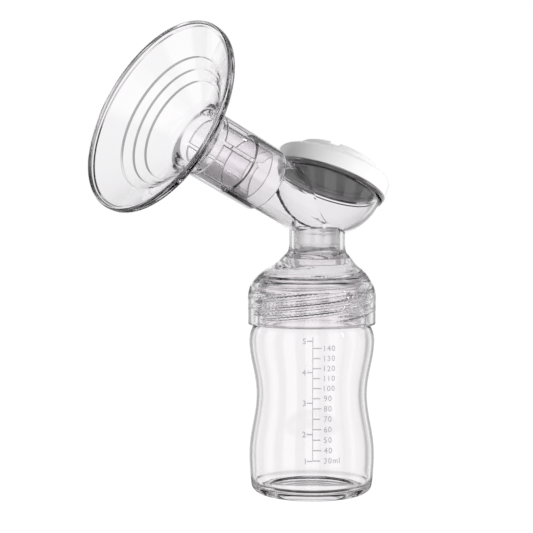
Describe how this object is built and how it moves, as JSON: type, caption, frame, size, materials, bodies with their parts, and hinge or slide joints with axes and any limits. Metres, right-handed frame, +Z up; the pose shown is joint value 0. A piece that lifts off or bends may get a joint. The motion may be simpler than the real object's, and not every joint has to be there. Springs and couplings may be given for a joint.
{
  "type": "breast pump",
  "caption": "Breast pump: waisted bottle, clear angled pump body, wide breast shield, silicone diaphragm under a round cap, and duckbill valve.",
  "frame": {"origin": "middle of the bottle's underside, on the bottle's axis", "axes": "+Z up along the bottle's axis; +X toward the bowl and cap, so the breast shield points to -X and up; the XZ plane is the plane of symmetry"},
  "size_m": [0.1462, 0.091, 0.2158],
  "materials": {
    "bottle_glass": "clear, faint pink tint, smooth",
    "scale_print": "thin grey print",
    "clear_plastic": "clear, moulded, smooth",
    "clear_silicone": "soft, milky",
    "grey_silicone": "soft, satin",
    "white_plastic": "satin white"
  },
  "bodies": {
    "bottle": {"bottle": "bottle_glass", "scale_marks": "scale_print"},
    "seal": {"bottle_seal": "clear_silicone"},
    "head": {"pump_body": "clear_plastic", "diaphragm_rim": "grey_silicone", "diaphragm_fold": "grey_silicone"},
    "shield": {"breast_shield": "clear_plastic"},
    "diaphragm": {"diaphragm_centre": "grey_silicone"},
    "cap": {"cap": "white_plastic"},
    "valve": {"valve_body": "clear_silicone"},
    "lip_near": {"valve_lip_near": "clear_silicone"},
    "lip_far": {"valve_lip_far": "clear_silicone"}
  },
  "joints": [
    {"name": "seal_lift", "type": "slide", "parent": "bottle", "child": "seal", "axis": [0, 0, 1], "range_m": [0, 0.0105]},
    {"name": "head_unscrew", "type": "hinge", "parent": "seal", "child": "head", "pos_m": [0, 0, 0.09], "axis": [0, 0, 1], "range_deg": [0, 200]},
    {"name": "shield_pull", "type": "slide", "parent": "head", "child": "shield", "axis": [-0.9063, 0, 0.4226], "range_m": [0, 0.03]},
    {"name": "diaphragm_stroke", "type": "slide", "parent": "head", "child": "diaphragm", "axis": [0.4226, 0, 0.9063], "range_m": [0, 0.004], "stiffness_N_per_m": 300, "deforming": ["diaphragm_fold"]},
    {"name": "cap_twist", "type": "hinge", "parent": "head", "child": "cap", "pos_m": [0.0107, 0, 0.1459], "axis": [0.4226, 0, 0.9063], "range_deg": [0, 40]},
    {"name": "valve_pull", "type": "slide", "parent": "head", "child": "valve", "axis": [0, 0, -1], "range_m": [0, 0.016]},
    {"name": "lip_near_open", "type": "hinge", "parent": "valve", "child": "lip_near", "pos_m": [0.0032, -0.0095, 0.1163], "axis": [-1, 0, 0], "range_deg": [0, 8], "stiffness_Nm_per_rad": 0.005},
    {"name": "lip_far_open", "type": "hinge", "parent": "valve", "child": "lip_far", "pos_m": [0.0032, 0.0095, 0.1163], "axis": [1, 0, 0], "range_deg": [0, 8], "stiffness_Nm_per_rad": 0.005}
  ],
  "couplings": [
    {"joint": "seal_lift", "follows": "head_unscrew", "m_per_rad": 0.0028648},
    {"joint": "lip_far_open", "follows": "lip_near_open", "ratio": 1}
  ]
}
